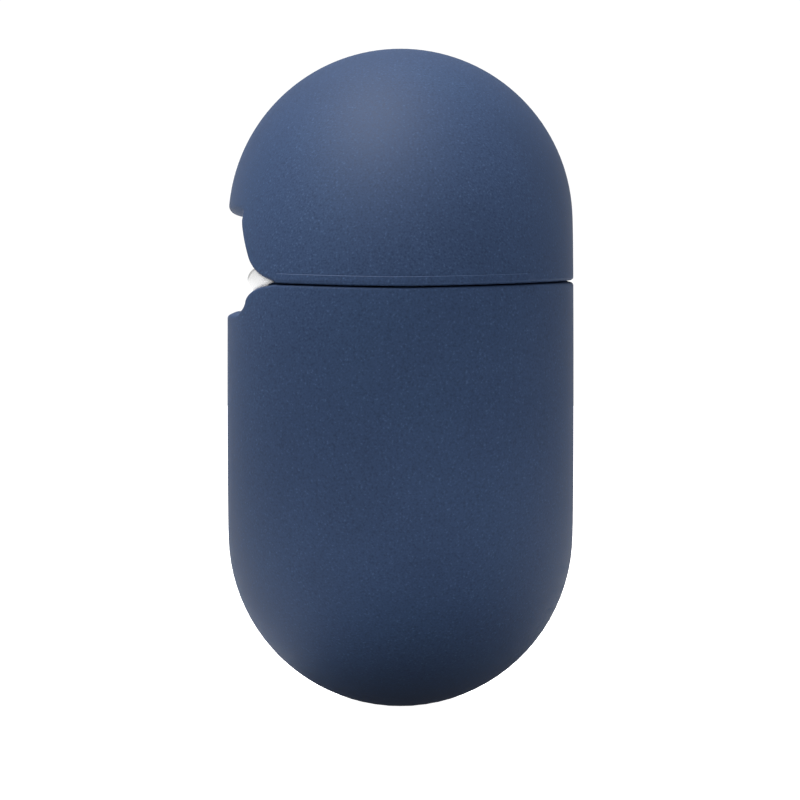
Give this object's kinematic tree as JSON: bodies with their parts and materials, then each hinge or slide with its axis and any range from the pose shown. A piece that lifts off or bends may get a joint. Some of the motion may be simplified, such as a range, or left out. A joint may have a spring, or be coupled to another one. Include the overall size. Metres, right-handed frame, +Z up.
{
  "type": "wireless earbuds charging case",
  "caption": "Pill-shaped earbuds charging case with a hinged lid, fitted in a matte two-piece cover with a hinge notch, port opening, pairing button and status light.",
  "frame": {"origin": "middle of the footprint at the lowest point of the rounded bottom", "axes": "X across the width, +Y towards the back where the hinge is, +Z up"},
  "size_m": [0.0638, 0.025, 0.0476],
  "materials": {
    "cover": "matte soft-touch silicone, fine grain",
    "case": "glossy white",
    "lining": "satin white",
    "steel": "satin steel",
    "magnet": "nickel plated",
    "battery": "foil pouch",
    "board": "green solder mask",
    "chip": "black moulding",
    "copper": "enamelled copper wire",
    "ferrite": "dark grey sheet",
    "flex": "amber polyimide",
    "gold": "gold plated",
    "light": "clear to milky",
    "adhesive": "pale adhesive film"
  },
  "bodies": {
    "base": {"cover_base": "cover", "base_shell": "case", "cradle": "lining", "hinge_base_leaf": "steel", "hinge_pin": "steel", "base_hinge_screw_1": "steel", "base_hinge_screw_2": "steel", "base_hinge_screw_3": "steel", "base_hinge_screw_4": "steel", "base_closure_magnet_left": "magnet", "base_closure_magnet_right": "magnet", "earbud_magnet_left": "magnet", "earbud_magnet_right": "magnet", "contact_barrel_left_1": "gold", "contact_barrel_left_2": "gold", "contact_barrel_right_1": "gold", "contact_barrel_right_2": "gold", "contact_flex_left": "flex", "contact_flex_right": "flex", "main_board": "board", "charging_controller": "chip", "power_inductor": "chip", "radio_chip": "chip", "battery": "battery", "pairing_switch": "steel", "port_shell": "steel", "port_tongue": "chip", "status_light": "light", "status_light_pipe": "light", "status_light_flex": "flex", "charging_coil": "copper", "ferrite_shield": "ferrite"},
    "lid": {"cover_lid": "cover", "cover_adhesive_strip": "adhesive", "lid_shell": "case", "lid_liner": "lining", "hinge_lid_leaf": "steel", "lid_hinge_screw_1": "steel", "lid_hinge_screw_2": "steel", "lid_closure_magnet_left": "magnet", "lid_closure_magnet_right": "magnet"},
    "pairing_button": {"pairing_button": "case"},
    "contact_pin_left_1": {"contact_pin_left_1": "gold"},
    "contact_pin_left_2": {"contact_pin_left_2": "gold"},
    "contact_pin_right_1": {"contact_pin_right_1": "gold"},
    "contact_pin_right_2": {"contact_pin_right_2": "gold"}
  },
  "joints": [
    {"name": "lid_hinge", "type": "hinge", "parent": "base", "child": "lid", "pos_m": [0, 0.0099, 0.0308], "axis": [-1, 0, 0], "range_deg": [0, 95]},
    {"name": "pairing_button_press", "type": "slide", "parent": "base", "child": "pairing_button", "axis": [0, -1, 0], "range_m": [0, 0.0004], "stiffness_N_per_m": 1500},
    {"name": "contact_left_1_press", "type": "slide", "parent": "base", "child": "contact_pin_left_1", "axis": [0, 0, -1], "range_m": [0, 0.0006], "stiffness_N_per_m": 500},
    {"name": "contact_left_2_press", "type": "slide", "parent": "base", "child": "contact_pin_left_2", "axis": [0, 0, -1], "range_m": [0, 0.0006], "stiffness_N_per_m": 500},
    {"name": "contact_right_1_press", "type": "slide", "parent": "base", "child": "contact_pin_right_1", "axis": [0, 0, -1], "range_m": [0, 0.0006], "stiffness_N_per_m": 500},
    {"name": "contact_right_2_press", "type": "slide", "parent": "base", "child": "contact_pin_right_2", "axis": [0, 0, -1], "range_m": [0, 0.0006], "stiffness_N_per_m": 500}
  ]
}
